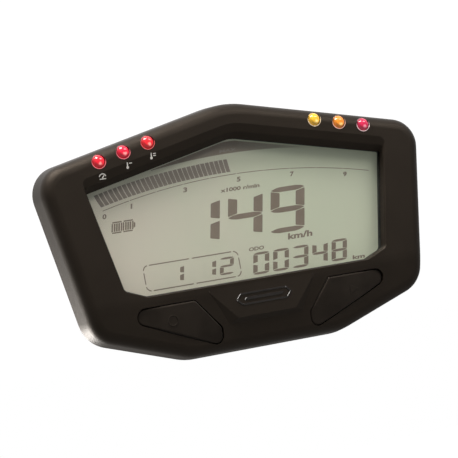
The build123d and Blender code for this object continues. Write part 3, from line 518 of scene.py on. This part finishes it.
def make_collar(name, tint, centre, radius, strength):
    """The clear flange around a lamp: the lamp's light on it painted as a glow along its lower half,
    and painted shade above.
    """
    surface = Surface(name, tint, 0.2, coat_weight=0.4)
    wander = surface.remap(surface.noise(0.7, 2), 0.3, 0.7, -0.2, 0.2)
    height = surface.calculate("ADD", surface.axis("Z"), wander)
    lower = surface.remap(height, centre[1] + 0.35 * radius, centre[1] - 0.35 * radius)
    # Painted shade: the upper half of the flange is darkened, and only the lower half glows with
    # painted light.
    unlit = tuple(0.05 * c for c in tint)
    surface.feed(surface.shader.inputs["Base Color"], surface.blend(lower, unlit, tint))
    surface.feed(surface.shader.inputs["Emission Color"], surface.blend(lower, unlit, tint))
    surface.shader.inputs["Emission Strength"].default_value = strength
    surface.relief(surface.noise(0.3, 2), 0.01)
    return surface.material


# ------------------------------------------------------------------ mesh helpers
def built_piece(name, build, material, slot, smooth=False):
    """Turns a finished bmesh into a piece that rides on the root."""
    bmesh.ops.recalc_face_normals(build, faces=build.faces)
    mesh = bpy.data.meshes.new(name)
    build.to_mesh(mesh)
    build.free()
    mesh.materials.append(material)
    for polygon in mesh.polygons:
        polygon.use_smooth = smooth
    piece = bpy.data.objects.new(name, mesh)
    bpy.context.scene.collection.objects.link(piece)
    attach(piece, "root")
    return piece


def plate_piece(name, outlines, y_front, thickness, material, slot, bevel=0.0, place=None):
    """Closed plates from flat outlines in (x, z) millimetres, facing the rider.

    place, if given, turns (x, z, height above the face) into a point in millimetres.
    """
    build = bmesh.new()
    for outline in outlines:
        if signed_area(outline) < 0:
            outline = outline[::-1]
        rings = [(outline, 0.0), (outline, thickness - bevel)]
        if bevel:
            rings.append((inset(outline, bevel), thickness))
        levels = []
        for ring, height in rings:
            if place:
                points = [place(x, z, height) for x, z in ring]
            else:
                points = [Vector((x, y_front + thickness - height, z)) for x, z in ring]
            levels.append([build.verts.new(point * MM) for point in points])
        for low, high in zip(levels, levels[1:]):
            for i in range(len(low)):
                j = (i + 1) % len(low)
                build.faces.new((low[i], low[j], high[j], high[i]))
        build.faces.new(levels[0][::-1])
        build.faces.new(levels[-1])
    bmesh.ops.triangulate(build, faces=[f for f in build.faces if len(f.verts) > 4])
    return built_piece(name, build, material, slot)


def signed_area(outline):
    """Twice the area, positive when anticlockwise."""
    return sum(a[0] * b[1] - b[0] * a[1] for a, b in zip(outline, outline[1:] + outline[:1]))


def inset(outline, amount):
    """Moves an anticlockwise outline's sides inwards."""
    result = []
    count = len(outline)
    for i, (x, z) in enumerate(outline):
        x0, z0 = outline[i - 1]
        x1, z1 = outline[(i + 1) % count]
        before = Vector((x - x0, z - z0)).normalized()
        after = Vector((x1 - x, z1 - z)).normalized()
        normal = Vector((-before.y - after.y, before.x + after.x))
        if normal.length < 1e-6:
            normal = Vector((-before.y, before.x))
        normal.normalize()
        lean = max(normal.dot(Vector((-before.y, before.x))), 0.4)
        result.append((x + normal.x * amount / lean, z + normal.y * amount / lean))
    return result


def rounded(corners, radius, steps=4):
    """Rounds the corners of an outline with short arcs."""
    result = []
    count = len(corners)
    for i, corner in enumerate(corners):
        here = Vector(corner)
        back = (Vector(corners[i - 1]) - here)
        ahead = (Vector(corners[(i + 1) % count]) - here)
        reach = min(radius, back.length * 0.48, ahead.length * 0.48)
        start = here + back.normalized() * reach
        end = here + ahead.normalized() * reach
        for step in range(steps + 1):
            t = step / steps
            point = start * (1 - t) ** 2 + here * 2 * t * (1 - t) + end * t**2
            result.append((point.x, point.y))
    return result


def ribbon(points, width):
    """The outline of a line of constant width."""
    left, right = [], []
    for i, point in enumerate(points):
        ahead = Vector(points[min(i + 1, len(points) - 1)])
        back = Vector(points[max(i - 1, 0)])
        along = (ahead - back).normalized()
        normal = Vector((-along.y, along.x)) * width / 2
        left.append((point[0] + normal.x, point[1] + normal.y))
        right.append((point[0] - normal.x, point[1] - normal.y))
    return left + right[::-1]


def arc_points(centre, radius, start, end, steps):
    """Points along an arc, angles in degrees from +X towards +Z."""
    return [
        (centre[0] + radius * cos(radians(start + (end - start) * i / steps)),
         centre[1] + radius * sin(radians(start + (end - start) * i / steps)))
        for i in range(steps + 1)
    ]


# ------------------------------------------------------------------ display content
# How far the characters lean, as a fraction of their height.
SLANT = 0.215
DISPLAY_MIDDLE = 2.05
CLOCK_MIDDLE = -11.85
FILM_SLOT = "polariser_film"
SEGMENTS = {
    "0": "abcdef", "1": "bc", "2": "abged", "3": "abgcd", "4": "fgbc",
    "5": "afgcd", "6": "afgedc", "7": "abc", "8": "abcdefg", "9": "abcdfg", " ": "",
}
SEGMENT_RISE = 0.03


def leaned(points, middle):
    """Slants upright points about a height."""
    return [(x + SLANT * (z - middle), z) for x, z in points]


def segment_shapes(centre, width, height, bar, stroke, gap):
    """The seven segments of an upright digit: lens-shaped bars across, and straight strokes down.

    bar is the thickness of the bars across, stroke the width of the strokes down.
    """
    x0, x1 = centre[0] - width / 2, centre[0] + width / 2
    top, middle, bottom = centre[1] + height / 2, centre[1], centre[1] - height / 2

    def across(z, low, high):
        crest, tip = bar * high, bar * low
        points = [(x0, z), (x0 + stroke * 0.55, z + crest * 0.72), (x0 + stroke, z + crest)]
        points += [(x1 - stroke, z + crest), (x1 - stroke * 0.35, z + crest * 0.62), (x1, z)]
        points += [(x1 - stroke * 0.55, z - tip * 0.72), (x1 - stroke, z - tip)]
        points += [(x0 + stroke, z - tip), (x0 + stroke * 0.35, z - tip * 0.62)]
        return points

    def down(left, high, low):
        a, b = (x0, x0 + stroke) if left else (x1 - stroke, x1)
        rise = bar * 0.42
        outer, inner = gap, gap + rise
        ends = (outer, inner) if left else (inner, outer)
        return [(a, high - ends[0]), (b, high - ends[1]), (b, low + ends[1]), (a, low + ends[0])]

    half = bar * 0.5
    return {
        "a": across(top - half, 0.45, 0.5),
        "g": across(middle, 0.5, 0.5),
        "d": across(bottom + half, 0.5, 0.45),
        "f": down(True, top - half, middle),
        "b": down(False, top - half, middle),
        "e": down(True, middle, bottom + half),
        "c": down(False, middle, bottom + half),
    }


def digits(text, right_centre, pitch, middle, width, height, bar, stroke, gap):
    """Outlines of the lit and unlit segments of a row of digits, given its last digit's centre."""
    lit, unlit = [], []
    for i, character in enumerate(reversed(text)):
        shapes = segment_shapes((right_centre - i * pitch, middle), width, height, bar, stroke, gap)
        for key, shape in shapes.items():
            shape = leaned(rounded(shape, bar * 0.16, 2), middle)
            (lit if key in SEGMENTS[character] else unlit).append(shape)
    return lit, unlit


ARC_CENTRE_X = 1.0
ARC_TOP = 14.9
ARC_RADIUS = 191.7
SCALE_START = -43.4
SCALE_STEP = 1.4625
BARS_PER_THOUSAND = 6
SCALE_BARS = 60
BARS_LIT = 29


def arc_height(x, rise=0.0):
    """The height of the tachometer's arc at x."""
    away = x - ARC_CENTRE_X
    return ARC_TOP + rise - (ARC_RADIUS - sqrt(ARC_RADIUS**2 - away**2))


def tachometer_bar(index):
    """One bowed bar above the arc. The bars lean less, and get shorter, towards the right."""
    x = SCALE_START + index * SCALE_STEP
    lean = 0.40 - 0.010 * min(index, BARS_LIT)
    low = 1.15 - 0.012 * min(index, BARS_LIT)
    high = 4.75 + 0.45 * max(0.0, 1 - index / 21)
    middle = (low + high) / 2
    half = SCALE_STEP * 0.41
    points = []
    for side, rise in ((-1, low), (1, low), (1, middle), (1, high), (-1, high), (-1, middle)):
        bow = 0.10 * (1 - ((rise - low) / (high - low) * 2 - 1) ** 2)
        centre = x + SCALE_STEP / 2 - lean * (rise - low) - bow
        points.append((centre + side * half, arc_height(centre + side * half, rise)))
    return points


def tachometer_scale():
    """The thin broken line under the bars: one dash for each thousand."""
    dashes = []
    per_thousand = SCALE_STEP * BARS_PER_THOUSAND
    for i in range(10):
        start = SCALE_START + 0.4 + i * per_thousand
        places = [start + per_thousand * t / 6 * 0.965 for t in range(7)]
        dashes.append(ribbon([(x, arc_height(x)) for x in places], 0.2))
    return dashes


def rounded_frame(left, right, top, bottom, radius, width):
    """A broken frame: four rounded corners and six straight dashes."""
    gap = 0.45
    pieces = []
    for cx, cz, start in (
        (right - radius, top - radius, 0),
        (left + radius, top - radius, 90),
        (left + radius, bottom + radius, 180),
        (right - radius, bottom + radius, 270),
    ):
        pieces.append(ribbon(arc_points((cx, cz), radius, start + 8, start + 82, 6), width))
    middle = (left + right) / 2
    for z in (top, bottom):
        for a, b in ((left + radius + gap, middle - gap), (middle + gap, right - radius - gap)):
            pieces.append(ribbon([(a, z), (b, z)], width))
    for x in (left, right):
        pieces.append(ribbon([(x, top - radius - gap), (x, bottom + radius + gap)], width))
    return pieces


def cell_icon():
    """Two slanted cells side by side, each a frame filled with upright bars."""
    pieces = []
    middle, height = 4.45, 3.0
    for left, right in ((-41.1, -38.2), (-37.6, -34.7)):
        low, high = middle - height / 2, middle + height / 2
        outline = [
            ([(left, high), (right, high)], 0.38),
            ([(left, low), (right, low)], 0.38),
            ([(left, low + 0.3), (left, high - 0.3)], 0.42),
            ([(right, low + 0.3), (right, high - 0.3)], 0.42),
        ]
        for share in (0.26, 0.5, 0.74):
            x = left + (right - left) * share
            outline.append(([(x, low + 0.34), (x, high - 0.34)], 0.5))
        pieces += [leaned(ribbon(points, width), middle) for points, width in outline]
    pieces.append(leaned([(-34.4, 3.6), (-33.9, 3.9), (-33.9, 5.0), (-34.4, 5.3)], middle))
    return pieces


def word_faces(text, centre, size, weight=0.035):
    """The flat faces of a word, fitted to a width and a height and slanted."""
    curve = bpy.data.curves.new("word", "FONT")
    curve.body = text
    curve.offset = weight
    curve.resolution_u = 3
    holder = bpy.data.objects.new("word", curve)
    bpy.context.scene.collection.objects.link(holder)
    bpy.context.view_layer.update()
    mesh = bpy.data.meshes.new_from_object(holder)
    points = [vertex.co.copy() for vertex in mesh.vertices]
    faces = [list(polygon.vertices) for polygon in mesh.polygons]
    bpy.data.objects.remove(holder)
    bpy.data.meshes.remove(mesh)
    bpy.data.curves.remove(curve)
    low = Vector((min(p.x for p in points), min(p.y for p in points)))
    high = Vector((max(p.x for p in points), max(p.y for p in points)))
    fitted = []
    for point in points:
        x = ((point.x - low.x) / (high.x - low.x) - 0.5) * size[0]
        z = ((point.y - low.y) / (high.y - low.y) - 0.5) * size[1]
        fitted.append((centre[0] + x + SLANT * z, centre[1] + z))
    return fitted, faces


def text_piece(name, words, y_front, rise, material, slot):
    """Words as thin solid letters. words: (text, centre, (width, height))."""
    build = bmesh.new()
    for text, centre, size in words:
        points, faces = word_faces(text, centre, size)
        corners = [build.verts.new(Vector((x, y_front + rise, z)) * MM) for x, z in points]
        for face in faces:
            build.faces.new([corners[i] for i in face])
    grown = bmesh.ops.extrude_face_region(build, geom=build.faces[:])
    raised = [item for item in grown["geom"] if isinstance(item, bmesh.types.BMVert)]
    bmesh.ops.translate(build, verts=raised, vec=(0, -rise * MM, 0))
    return built_piece(name, build, material, slot)


def digit_rows():
    """The lit shapes of each row of digits, by piece, and all the unlit ones."""
    small = {"pitch": 5.75, "middle": CLOCK_MIDDLE, "width": 4.5, "height": 5.1}
    small |= {"bar": 0.6, "stroke": 1.25, "gap": 0.17}
    speed_lit, unlit = digits(
        "149",
        right_centre=15.0,
        pitch=14.05,
        middle=DISPLAY_MIDDLE,
        width=11.4,
        height=13.7,
        bar=1.55,
        stroke=3.0,
        gap=0.32,
    )
    distance_lit, distance_off = digits(
        "00348",
        right_centre=29.35,
        pitch=6.55,
        middle=-12.7,
        width=5.25,
        height=6.5,
        bar=0.72,
        stroke=1.45,
        gap=0.2,
    )
    minutes_lit, minutes_off = digits("12", right_centre=-7.95, **small)
    hours_lit, hours_off = digits(" 1", right_centre=-24.0, **small)
    rows = {
        "speed_digits": speed_lit,
        "odometer_digits": distance_lit,
        "clock_digits": minutes_lit + hours_lit,
    }
    return rows, unlit + distance_off + minutes_off + hours_off


def peak_outline():
    """The band of painted shade, partly a printed band, between the tachometer's bars and the window's
    apex.
    """
    places = [x * 2.0 for x in range(-13, 14)]
    under = [(x, arc_height(x, 6.4)) for x in places]
    over = [(x, min(24.9, 25.3 - 0.2197 * abs(x))) for x in reversed(places)]
    return under + over


def build_display():
    """Everything that the display shows, as thin segments in front of its polariser."""
    dark = make_segment("segment_dark", (0.225, 0.172, 0.142), (0.262, 0.206, 0.170))
    barred = make_segment("segment_bars", (0.265, 0.215, 0.195), (0.305, 0.250, 0.228))
    faint = make_unlit_segment()
    front = POLARISER_Y - SEGMENT_RISE
    faint_rise = SEGMENT_RISE * 0.5
    faint_front = POLARISER_Y - faint_rise

    rows, unlit = digit_rows()
    for name, lit in rows.items():
        plate_piece(name, lit, front, SEGMENT_RISE, dark, FILM_SLOT)
    frame_lines = rounded_frame(-34.1, -3.75, -7.95, -15.45, 1.6, 0.32)
    plate_piece("clock_frame", frame_lines, front, SEGMENT_RISE, dark, FILM_SLOT)
    left, right, half = -19.3, -18.5, 0.4
    for z in (-10.5, -13.1):
        dot = [(left, z - half), (right, z - half), (right, z + half), (left, z + half)]
        unlit.append(leaned(dot, CLOCK_MIDDLE))

    bars = [tachometer_bar(i) for i in range(SCALE_BARS)]
    plate_piece("tachometer_bars", bars[:BARS_LIT], front, SEGMENT_RISE, barred, FILM_SLOT)
    unlit += bars[BARS_LIT:]
    plate_piece("tachometer_scale", tachometer_scale(), front, SEGMENT_RISE, dark, FILM_SLOT)
    plate_piece("cell_icon", cell_icon(), front, SEGMENT_RISE, dark, FILM_SLOT)
    plate_piece("unlit_segments", unlit, faint_front, faint_rise, faint, FILM_SLOT)
    # Painted shade: the frame's shadow on the display, drawn as a darker band that is partly printed.
    plate_piece("peak_band_painted_shade", [peak_outline()], faint_front, faint_rise, make_peak_band(), FILM_SLOT)
    band_ink = make_segment("band_word", BAND_WORD, tuple(0.9 * c for c in BAND_WORD))
    peak_word = [("MAX", (-0.6, 22.2), (5.6, 0.9))]
    text_piece("peak_word", peak_word, front, SEGMENT_RISE, band_ink, FILM_SLOT)

    words = [
        ("km/h", (17.5, -6.2), (8.2, 1.9)),
        ("km", (35.4, -15.7), (4.2, 1.25)),
        ("ODO", (2.5, -8.2), (5.0, 1.15)),
        ("x1000 r/min", (1.0, 10.5), (12.8, 1.2)),
    ]
    for thousand in (0, 1, 3, 5, 7, 9):
        x = SCALE_START + 0.6 + thousand * SCALE_STEP * BARS_PER_THOUSAND
        width = 0.5 if thousand == 1 else 1.25
        words.append((str(thousand), (x, arc_height(x, -1.75)), (width, 1.45)))
    text_piece("display_words", words, front, SEGMENT_RISE, dark, FILM_SLOT)


# ------------------------------------------------------------------ carried-over nodes
def dress(node, material):
    """Gives a CAD node its finished material."""
    slots = frame["nodes"][node].data.materials
    if not slots:
        slots.append(material)
    for i in range(len(slots)):
        slots[i] = material


def dress_nodes():
    """Gives every CAD node except the lamps its finished material."""
    bezel = make_bezel()
    casing = make_casing()
    button = make_button()
    seal = make_rubber("seal_rubber")
    steel = make_metal("screw_steel", (0.62, 0.61, 0.58), (0.42, 0.40, 0.36), brushed=(1, 6, 1))
    tinned = make_metal("tinned_metal", (0.74, 0.74, 0.72), (0.6, 0.6, 0.58))
    brass = make_metal("insert_brass", (0.83, 0.62, 0.27), (0.6, 0.42, 0.17), brushed=(1, 8, 1))
    can = make_metal("capacitor_can", (0.8, 0.8, 0.82), (0.66, 0.66, 0.68), (0.2, 0.32))
    chip, moulded, tray = (
        moulded_plastic(name, colour, lighter, grain=grain).material
        for name, colour, lighter, grain in (
            ("chip_epoxy", (0.018, 0.018, 0.019), (0.035, 0.035, 0.037), 0.05),
            ("connector_plastic", (0.022, 0.022, 0.024), (0.04, 0.04, 0.043), 0.08),
            ("tray_plastic", (0.72, 0.72, 0.69), (0.8, 0.8, 0.77), 0.2),
        )
    )
    guide = make_film("light_guide", (0.82, 0.84, 0.80), (0.88, 0.9, 0.86), 0.25)
    film = make_film("diffuser_film", (0.82, 0.82, 0.78), (0.88, 0.88, 0.84), 0.5)
    emitter = make_film("backlight_emitter", (0.85, 0.80, 0.55), (0.9, 0.86, 0.66), 0.35)
    glass = make_glass_cell()
    board = make_board()
    for material, nodes in (
        (bezel, ["front_bezel"]),
        (casing, ["rear_casing"]),
        (button, ["left_button", "right_button"]),
        (seal, ["case_seal", "harness_grommet", "vent_plug", "lens_seal", "display_gasket"]),
        (seal, ["contact_strip", "left_button_ring", "right_button_ring"]),
        (steel, ["case_screws", "board_screws"]),
        (tinned, ["indicator_leads", "crystal", "header_pins"]),
        (brass, ["mount_inserts"]),
        (can, ["capacitors"]),
        (chip, ["microcontroller", "display_driver", "voltage_regulator", "suppressor_diode"]),
        (chip, ["chip_components", "inductor", "left_switch_body", "right_switch_body"]),
        (moulded, ["left_button_retainer", "right_button_retainer", "harness_header"]),
        (moulded, ["left_switch_plunger", "right_switch_plunger"]),
        (tray, ["display_tray"]),
        (guide, ["light_guide"]),
        (film, ["diffuser_film", "reflector_film", "rear_polariser"]),
        (emitter, ["backlight_leds"]),
        (glass, ["front_glass", "rear_glass"]),
        (board, ["main_board"]),
        (make_display_face(), ["front_polariser"]),
        (make_lens(), ["window_lens"]),
    ):
        for node in nodes:
            dress(node, material)


# ------------------------------------------------------------------ indicators
# Each lamp's colour, the colour of its core, the colour of the painted glow on its flange, and its
# brightness.
LAMPS = {
    "left_outer": ((0.66, 0.014, 0.030), (1.0, 0.50, 0.46), (0.85, 0.22, 0.24), 0.9),
    "left_middle": ((0.66, 0.012, 0.040), (1.0, 0.52, 0.48), (0.85, 0.22, 0.26), 0.9),
    "left_inner": ((0.66, 0.018, 0.028), (1.0, 0.50, 0.42), (0.80, 0.16, 0.16), 0.9),
    "right_inner": ((0.72, 0.40, 0.025), (1.0, 0.84, 0.34), (0.80, 0.66, 0.46), 0.85),
    "right_middle": ((0.70, 0.22, 0.020), (1.0, 0.76, 0.26), (0.85, 0.52, 0.42), 0.85),
    "right_outer": ((0.52, 0.016, 0.065), (1.0, 0.50, 0.58), (0.85, 0.62, 0.64), 0.75),
}
# The strength of the glow painted on each flange, standing in for the lamp's light on it.
COLLAR_PAINTED_GLOW = 0.5
COLLAR_SIDES = 8


def lathe_piece(name, centre, profile, material, slot, steps=40):
    """A ring turned about an axis along Y. profile: closed loop of (radius, y) in millimetres."""
    build = bmesh.new()
    rings = []
    for radius, y in profile:
        ring = []
        for i in range(steps):
            angle = 2 * pi * i / steps
            point = Vector((centre[0] + radius * cos(angle), y, centre[1] + radius * sin(angle)))
            ring.append(build.verts.new(point * MM))
        rings.append(ring)
    for a, b in zip(rings, rings[1:] + rings[:1]):
        for i in range(steps):
            j = (i + 1) % steps
            build.faces.new((a[i], a[j], b[j], b[i]))
    return built_piece(name, build, material, slot, smooth=True)


def build_lamps():
    """Lit domes, each with a painted glow on the edge of its flange in the chamfered hole."""
    for key, (colour, core, flange, strength) in LAMPS.items():
        node = f"{key}_indicator"
        low, high = node_box(node)
        centre = ((low.x + high.x) / 2, (low.z + high.z) / 2)
        radius = (high.x - low.x) / 2
        dome = make_lamp_dome(f"{node}_lit", colour, core, centre, radius, strength)
        dress(node, dome)
        # The flange gets a painted glow of the lamp's light, with painted shade above.
        collar = make_collar(f"{key}_collar_painted_glow", flange, centre, radius, COLLAR_PAINTED_GLOW)
        middle, half_width, half_depth = radius + 0.12, 0.09, 0.126
        profile = []
        for i in range(COLLAR_SIDES):
            angle = 2 * pi * i / COLLAR_SIDES
            depth = BEZEL_FACE_Y + 0.04 + half_depth * sin(angle)
            profile.append((middle + half_width * cos(angle), depth))
        lathe_piece(f"{key}_collar", centre, profile, collar, SLOT_OF[node])


# ------------------------------------------------------------------ marks and label
SEARCH_FROM = 60


def surface_of(node):
    """A search tree over a node's mesh, for laying thin marks on its face."""
    mesh = frame["nodes"][node].data
    points = [vertex.co.copy() for vertex in mesh.vertices]
    return BVHTree.FromPolygons(points, [list(polygon.vertices) for polygon in mesh.polygons])


def laid_on(tree, sink=0.02, from_behind=False):
    """A place function that lays (x, z, height) onto the face that is met along Y."""
    side = 1 if from_behind else -1

    def place(x, z, height):
        start = Vector((x, side * SEARCH_FROM, z)) * MM
        hit, normal, _, _ = tree.ray_cast(start, Vector((0, -side, 0)))
        if hit is None:
            raise ValueError(f"no face at {x}, {z}")
        return hit / MM + normal * (height - sink)

    return place


def build_pictograms():
    """White pictograms beside the left lamps: one of speed, and two of heat."""
    ink = Surface("pictogram_ink", (0.62, 0.60, 0.56), 0.5)
    blots = ink.remap(ink.noise(0.5, 3), 0.35, 0.7)
    ink.colour(blots, (0.88, 0.86, 0.82), (0.66, 0.63, 0.58))
    ink.relief(ink.noise(0.15, 2), 0.004)
    on_bezel = laid_on(surface_of("front_bezel"), 0.01)
    x, z = -42.7, 19.3
    gauge = [
        ribbon(arc_points((x, z - 0.35), 1.05, 15, 165, 10), 0.28),
        ribbon([(x - 0.1, z - 0.5), (x + 0.5, z + 0.25)], 0.3),
        ribbon([(x - 1.0, z - 0.75), (x + 1.0, z - 0.75)], 0.26),
    ]
    shapes_of = {"speed_pictogram": gauge}
    for name, (x, z), bars in (
        ("first_heat_pictogram", (-34.0, 21.3), 1),
        ("second_heat_pictogram", (-26.2, 23.1), 2),
    ):
        stem = x - 0.6
        shapes = [ribbon([(stem, z - 0.2), (stem, z + 0.95)], 0.34)]
        shapes.append(arc_points((stem, z - 0.5), 0.42, 0, 330, 11))
        for i in range(bars):
            level = z + 0.65 - 0.55 * i
            shapes.append(ribbon([(x, level), (x + 0.85, level)], 0.26))
        shapes_of[name] = shapes
    for name, shapes in shapes_of.items():
        plate_piece(name, shapes, 0, 0.03, ink.material, "bezel_plastic", place=on_bezel)


def build_badge():
    """A plain badge on the plateau: a bar in a six-sided frame."""
    gloss = Surface("badge_gloss", (0.020, 0.017, 0.015), 0.16, coat_weight=0.5)
    gloss.shine(gloss.noise(2.0, 3), 0.10, 0.24)
    gloss.relief(gloss.noise(0.4, 2), 0.004)
    z, half, rise = -22.6, 8.8, 1.55
    edge = [(-half, z), (-half + rise, z + rise), (half - rise, z + rise)]
    edge += [(half, z), (half - rise, z - rise), (-half + rise, z - rise)]
    shapes = [rounded(ribbon([edge[i], edge[(i + 1) % 6]], 0.5), 0.15, 2) for i in range(6)]
    long, short, half_bar = 6.6, 5.8, 0.42
    bar = [(-long, z - half_bar), (short, z - half_bar), (long, z + half_bar), (-short, z + half_bar)]
    shapes.append(rounded(bar, 0.3, 2))
    on_bezel = laid_on(surface_of("front_bezel"), 0.01)
    plate_piece("plain_badge", shapes, 0, 0.22, gloss.material, "bezel_plastic", 0.08, on_bezel)


def build_button_marks():
    """A ring on the left button and an arrow on the right one, raised from the rubber."""
    rubber = make_button()
    away, z = 29.5, -25.2
    ring = [ribbon(arc_points((-away, z), 1.5, 0, 350, 22), 0.34)]
    arrow = [[(away - 1.3, z - 1.4), (away + 1.5, z), (away - 1.3, z + 1.4)]]
    for side, shapes in (("left", ring), ("right", arrow)):
        on_button = laid_on(surface_of(f"{side}_button"), 0.02)
        name = f"{side}_button_mark"
        piece = plate_piece(name, shapes, 0, 0.14, rubber, "button_rubber", 0.05, on_button)
        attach(piece, f"{side}_button_body")


def build_label():
    """A blank rating plate in the recess of the rear wall, with a printed border and rules."""
    film = Surface("rating_film", (0.55, 0.55, 0.53), 0.35)
    streaks = film.remap(film.noise(0.4, 3, 0.6, (0.1, 1, 1)), 0.3, 0.7)
    film.colour(streaks, (0.60, 0.60, 0.58), (0.50, 0.50, 0.48))
    film.shine(film.noise(1.5, 3), 0.28, 0.42)
    film.relief(film.noise(0.3, 2), 0.004)
    ink = Surface("label_ink", (0.03, 0.03, 0.03), 0.5)
    ink.colour(ink.noise(0.6, 3), (0.02, 0.02, 0.02), (0.06, 0.06, 0.06))
    ink.relief(ink.noise(0.1, 2), 0.003)
    half_width, half_height, middle, film_rise, ink_rise = 19.6, 6.1, 15.0, 0.22, 0.03
    on_casing = laid_on(surface_of("rear_casing"), 0.0, from_behind=True)

    def framed(margin):
        """The corners of the plate, drawn in by a margin."""
        x = half_width - margin
        low, high = middle - half_height + margin, middle + half_height - margin
        return [(-x, low), (x, low), (x, high), (-x, high)]

    plate = rounded(framed(0), 1.2)
    plate_piece("rating_plate", [plate], 0, film_rise, film.material, FILM_SLOT, 0.05, on_casing)
    border = framed(1.0)
    lines = [ribbon([border[i], border[(i + 1) % 4]], 0.25) for i in range(4)]
    reach = half_width - 3
    for z in (middle - 1.8, middle + 1.4):
        lines.append(ribbon([(-reach, z), (reach, z)], 0.18))

    def on_plate(x, z, height):
        return on_casing(x, z, film_rise + height - 0.005)

    name = "rating_plate_rules"
    plate_piece(name, lines, 0, ink_rise, ink.material, FILM_SLOT, place=on_plate)


add_camera()
add_studio()
dress_nodes()
build_display()
build_lamps()
build_pictograms()
build_badge()
build_button_marks()
build_label()
